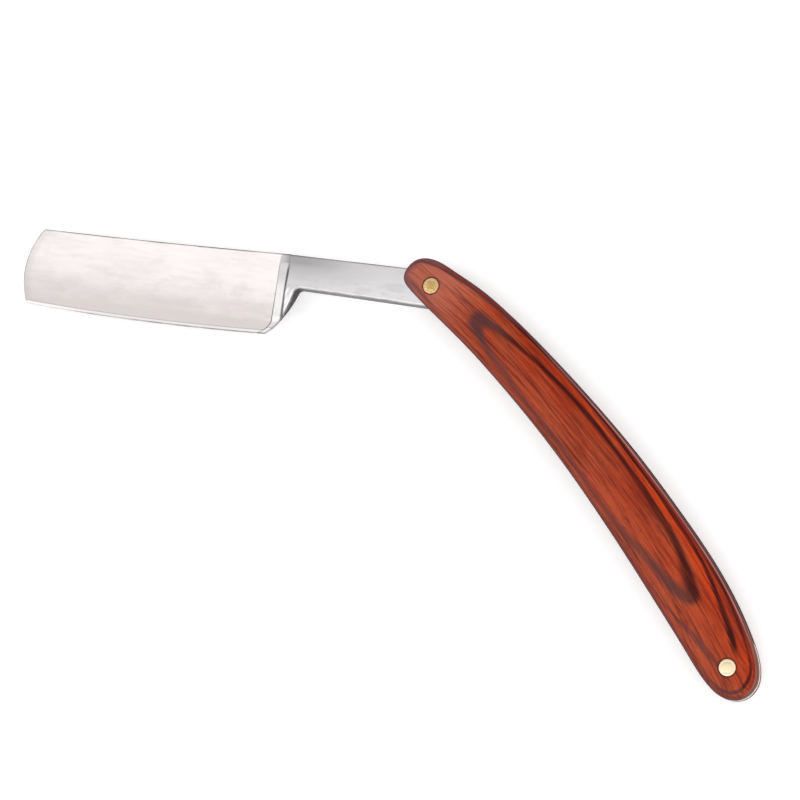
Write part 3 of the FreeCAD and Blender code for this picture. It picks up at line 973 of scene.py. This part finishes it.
def steel_material():
    """Satin ground steel with fine grinding marks, faint stains, and rougher sides painted dark as shade.
    """
    s = Shader("satin_ground_steel", Metallic=1.0)
    x, y, rim = map(s.stored, ("blade_x", "blade_y", "rim"))
    edge_gap, side, onto_face = map(s.stored, ("edge_gap", "side", "onto_face"))
    flat = s.joined(x, y)
    marks = s.noise((0.10, 0.9, 1.0), 3.0, 0.6, place=flat)
    fine = s.noise((6.0, 0.30, 1.0), 2.0, 0.6, offset=(4.0, 0.0, 0.0), place=flat)
    cloud = s.noise((0.07, 0.16, 1.0), 3.0, 0.6, offset=(1.0, 6.0, 0.0), place=flat)
    stains = s.noise((0.13, 0.28, 1.0), 4.0, 0.6, offset=(7.0, 3.0, 0.0), place=flat)
    over_heel = s.minus(s.times(x, 0.917), s.times(y, 0.40))
    along_heel = s.plus(s.times(x, 0.40), s.times(y, 0.917))
    strokes = s.noise((2.6, 0.25, 1.0), 3.0, 0.6, place=s.joined(over_heel, along_heel))

    # The hollow face: pink as painted reflection, paler near the spine and greyer towards the edge as
    # painted shade, greyer near the toe, with soft stains.
    wavy_painted_shade = s.plus(y, s.times(s.minus(stains, 0.5), 14.0))
    face = s.layered(
        s.mix((cloud, 0.35, 0.7), (0.84, 0.775, 0.77), (0.79, 0.725, 0.72)),
        ((marks, 0.5, 0.75, 0.0, 0.09), (0.68, 0.63, 0.63)),
        ((wavy_painted_shade, 3.0, 16.0, 0.0, 0.85), (0.66, 0.60, 0.59)),
        ((stains, 0.52, 0.68, 0.0, 0.30), (0.66, 0.645, 0.635)),
        (s.times((x, 114.0, 119.5), (rim, 3.2, 0.4, 0.0, 0.45)), (0.56, 0.54, 0.545)),
    )

    # Tang and the strip between the shoulder steps. Above the strip the tang's grey runs on.
    strip = s.smooth(x, SHOULDER_X - 0.2, SHOULDER_X + 0.3, 0.0, 0.8)
    fading = s.mix((x, SHOULDER_X, SHOULDER_X + 2.4), (0.27, 0.26, 0.265), (0.46, 0.45, 0.45))
    tang = s.layered(
        # Painted shade: lighter towards the tang's lower side, darker towards the shoulder and the spine,
        # and darker above the strip.
        s.mix((y, -4.0, 4.0), (0.86, 0.83, 0.84), (0.95, 0.93, 0.94)),
        (s.times((x, 12.0, 41.0, 0.0, 0.6), (y, 3.5, -2.0, 0.3, 1.0)), (0.52, 0.50, 0.51)),
        ((stains, 0.50, 0.66, 0.0, 0.35), (0.70, 0.67, 0.68)),
        (strip, (0.71, 0.69, 0.69)),
        (s.times((x, 22.0, 41.0, 0.0, 0.75), (y, -1.0, -3.5)), (0.46, 0.445, 0.455)),
        (s.times(strip, (y, -2.45, -2.95)), fading),
    )

    # Brush strokes along the heel's slope, painted shade as lines in the two steps, the honed bevel with a
    # line along its inner side, and a dark outline along the rim, painted shade, that is fainter round the
    # toe.
    heel = s.times(
        (y, 2.6, 4.6), (x, SHOULDER_X + 0.1, SHOULDER_X - 0.3), (x, 37.0, 39.5),
        (strokes, 0.42, 0.62, 0.1, 0.75),
    )
    shoulder = s.ridge(x, SHOULDER_X + 0.1, 0.20, 0.60)
    grind_step_painted_shade = s.times(onto_face, s.minus(1.0, onto_face))
    inner_line = s.times(
        (edge_gap, BEVEL_WIDTH - 0.18, BEVEL_WIDTH), (edge_gap, BEVEL_WIDTH + 0.22, BEVEL_WIDTH, 0.0, 0.55),
    )
    toe_edge = s.times((x, 98.0, 114.0), (y, 6.0, 14.0))
    outline = s.times(
        (rim, 0.48, 0.15), (cloud, 0.35, 0.65, 0.5, 0.95), (toe_edge, 0.0, 1.0, 1.0, 0.35),
        (x, 112.0, 116.0, 1.0, 0.6),
    )
    colour = s.layered(
        s.mix(onto_face, tang, face),
        (heel, (0.52, 0.51, 0.52)),
        (s.times(shoulder, (y, -3.4, 0.0), (y, 13.8, 12.0, 0.2, 0.92)), (0.09, 0.088, 0.09)),
        (s.times((grind_step_painted_shade, 0.02, 0.2), (y, -2.0, 14.0, 0.55, 0.95), (y, -3.4, -1.8)), (0.13, 0.115, 0.12)),
        ((edge_gap, BEVEL_WIDTH + 0.05, BEVEL_WIDTH - 0.15, 0.0, 0.45), (0.97, 0.96, 0.96)),
        (inner_line, (0.30, 0.29, 0.29)),
        (outline, (0.12, 0.115, 0.12)),
    )

    # Painted shade: the walls are dark, darker under the tang, and darkest in the notch.
    notch = s.ridge(x, 41.0, 2.0, 4.5)
    wall = s.layered(
        (0.22, 0.225, 0.235),
        (s.times((y, 1.0, 3.0), (x, SHOULDER_X + 6.0, SHOULDER_X)), (0.078, 0.080, 0.085)),
        (s.times(notch, (y, 2.0, 3.4), (strokes, 0.35, 0.60, 1.0, 0.55)), (0.035, 0.035, 0.037)),
    )
    s.set("Base Color", s.mix(side, colour, wall))
    s.set("Roughness", s.plus((marks, 0.3, 0.7, 0.18, 0.25), s.times(side, 0.15)))
    s.set("Normal", s.bump(marks, 0.06, 0.012, s.bump(fine, 0.06, 0.006)))
    return s.material


def brass_material():
    """Peened brass: a hammered middle on the pivot, a polished one on the tail, pinkish rings."""
    s = Shader("peened_brass", Metallic=1.0)
    radius = s.stored("radius")
    dents = s.node("ShaderNodeTexVoronoi", feature="SMOOTH_F1")
    s.feed(dents.inputs["Vector"], s.place)
    s.feed(dents.inputs["Scale"], 2.0)
    grime = s.noise((1.3, 1.3, 1.3), 3.0)
    polished = s.smooth(s.apart()[0], 0.4 * TAIL_X, 0.6 * TAIL_X)
    middle = s.mix(polished, (0.66, 0.45, 0.17), (0.95, 0.78, 0.52))
    ring = s.mix(polished, (0.84, 0.56, 0.29), (0.98, 0.80, 0.56))
    s.set("Base Color", s.layered(
        s.mix((radius, 0.6, 2.0), middle, ring),
        (s.times((grime, 0.48, 0.72, 0.0, 0.6), (polished, 0.0, 1.0, 1.0, 0.15)), (0.34, 0.24, 0.07)),
        ((s.gap(radius, HEAD_RADIUS), 0.03, 0.09, 0.35, 0.0), (0.25, 0.15, 0.05)),
        # Painted shadow: a dark ring at each collar's outer edge.
        ((radius, COLLAR_RADIUS - 0.12, COLLAR_RADIUS, 0.0, 0.8), (0.10, 0.05, 0.02)),
    ))
    s.set("Roughness", (grime, 0.3, 0.7, 0.26, 0.40))
    hammered = s.times(dents.outputs["Distance"], (polished, 0.0, 1.0, 1.0, 0.12))
    s.set("Normal", s.bump(hammered, 0.5, 0.12))
    return s.material


def wedge_material():
    """Polished light metal with fine file marks and dark seams against the scales."""
    s = Shader("polished_wedge", Metallic=1.0)
    file_marks = s.noise((0.8, 0.8, 14.0), 3.0)
    cloud = s.noise((0.5, 0.5, 0.5), 2.0)
    colour = s.mix(cloud, (0.93, 0.92, 0.90), (0.82, 0.81, 0.79))
    half = MID_Z - SCALE_THICKNESS - TAIL_RISE
    seam = s.smooth(s.gap(s.apart()[2], MID_Z), half - 0.42, half - 0.12, 0.0, 0.9)
    s.set("Base Color", s.mix(seam, colour, (0.10, 0.04, 0.04)))
    s.set("Roughness", (file_marks, 0.3, 0.7, 0.25, 0.40))
    s.set("Normal", s.bump(file_marks, 0.1, 0.01))
    return s.material


wood = wood_material()
steel = steel_material()
brass = brass_material()
wedge_metal = wedge_material()


# ---- the razor ----
def same(z):
    return z


for side, z_of in (("rear", same), ("front", mirrored)):
    scale_piece(f"{side}_scale_shaped", f"{side}_scale", z_of)
    lathe_piece(f"{side}_washer_turned", f"{side}_tang_washer", washer_profile(z_of), 0.0, brass)
    for end, x in (("pivot", 0.0), ("tail", TAIL_X)):
        profile = collar_profile(float(bend_rise(x)), z_of)
        lathe_piece(f"{side}_{end}_ring", f"{side}_{end}_collar", profile, x, brass)
for end, x in (("pivot", 0.0), ("tail", TAIL_X)):
    lathe_piece(f"{end}_rod_peened", f"{end}_pin", pin_profile(float(bend_rise(x))), x, brass)
wedge_piece()
blade_piece()


# ---- floor, light and camera ----
def floor():
    """A plain pale floor, large enough for every view."""
    half = 3.0  # metres
    mesh = bpy.data.meshes.new("floor")
    corners = [(-half, -half, 0.0), (half, -half, 0.0), (half, half, 0.0), (-half, half, 0.0)]
    mesh.from_pydata(corners, [], [(0, 1, 2, 3)])
    thing = bpy.data.objects.new("floor", mesh)
    thing.location.z = -0.3 * MM
    bpy.context.scene.collection.objects.link(thing)
    glow = {"Emission_Color": (1.0, 1.0, 1.0, 1.0), "Emission_Strength": 0.22}
    paint = Shader("pale_floor", Roughness=0.9, **glow)
    tone = paint.noise((0.01, 0.01, 0.01), 2.0)
    paint.set("Base Color", paint.mix(tone, (0.90, 0.90, 0.90), (0.93, 0.93, 0.93)))
    mesh.materials.append(paint.material)


def softbox(name, place, aim, size, power):
    """A soft rectangular lamp. Places and sizes are in metres."""
    lamp = bpy.data.lights.new(name, "AREA")
    lamp.shape = "RECTANGLE"
    lamp.size, lamp.size_y = size
    lamp.energy = power
    thing = bpy.data.objects.new(name, lamp)
    thing.location = place
    thing.rotation_euler = (Vector(aim) - Vector(place)).to_track_quat("-Z", "Y").to_euler()
    bpy.context.scene.collection.objects.link(thing)


def graded_surround(dim, bright, towards, start, end):
    """World light that rises smoothly from dim to bright towards one side of the room."""
    world = bpy.data.worlds.new("studio")
    world.use_nodes = True
    nodes, links = world.node_tree.nodes, world.node_tree.links
    background = nodes["Background"]
    background.inputs["Color"].default_value = (1.0, 1.0, 1.0, 1.0)
    way = nodes.new("ShaderNodeTexCoord")
    lean = nodes.new("ShaderNodeVectorMath")
    lean.operation = "DOT_PRODUCT"
    lean.inputs[1].default_value = towards
    grade = nodes.new("ShaderNodeMapRange")
    grade.interpolation_type = "SMOOTHSTEP"
    for socket, number in zip(grade.inputs[1:5], (start, end, dim, bright)):
        socket.default_value = number
    links.new(way.outputs["Generated"], lean.inputs[0])
    links.new(lean.outputs["Value"], grade.inputs[0])
    links.new(grade.outputs[0], background.inputs["Strength"])
    bpy.context.scene.world = world


def camera(target, distance_off, azimuth, elevation, roll, focal_length):
    """Looks down on the razor, turned and rolled as a hand-held shot of it."""
    azimuth, elevation, roll = (math.radians(a) for a in (azimuth, elevation, roll))
    level = math.cos(elevation)
    back = Vector((level * math.cos(azimuth), level * math.sin(azimuth), math.sin(elevation)))
    level_up = (Vector((0, 0, 1)) - back * back.z).normalized()
    level_right = level_up.cross(back)
    up = level_up * math.cos(roll) + level_right * math.sin(roll)
    right = up.cross(back)
    lens = bpy.data.cameras.new("camera")
    lens.sensor_width = 36.0
    lens.lens = focal_length
    lens.clip_start = 0.01
    thing = bpy.data.objects.new("camera", lens)
    turn = Matrix((right, up, back)).transposed().to_4x4()
    place = Vector(target) * MM + back * (distance_off * MM)
    thing.matrix_world = Matrix.Translation(place) @ turn
    bpy.context.scene.collection.objects.link(thing)
    bpy.context.scene.camera = thing


floor()
graded_surround(dim=0.66, bright=1.35, towards=(0.683, -0.731, 0.0), start=-0.28, end=0.08)
bpy.context.scene.view_settings.view_transform = "Standard"
softbox("side_light", place=(0.0, 0.80, 0.45), aim=(0.02, -0.03, 0.0), size=(0.8, 0.18), power=3.0)
camera(
    target=(19.63, -25.49, 9.18), distance_off=672.6, azimuth=17.35, elevation=68.78, roll=55.49,
    focal_length=112.5,
)
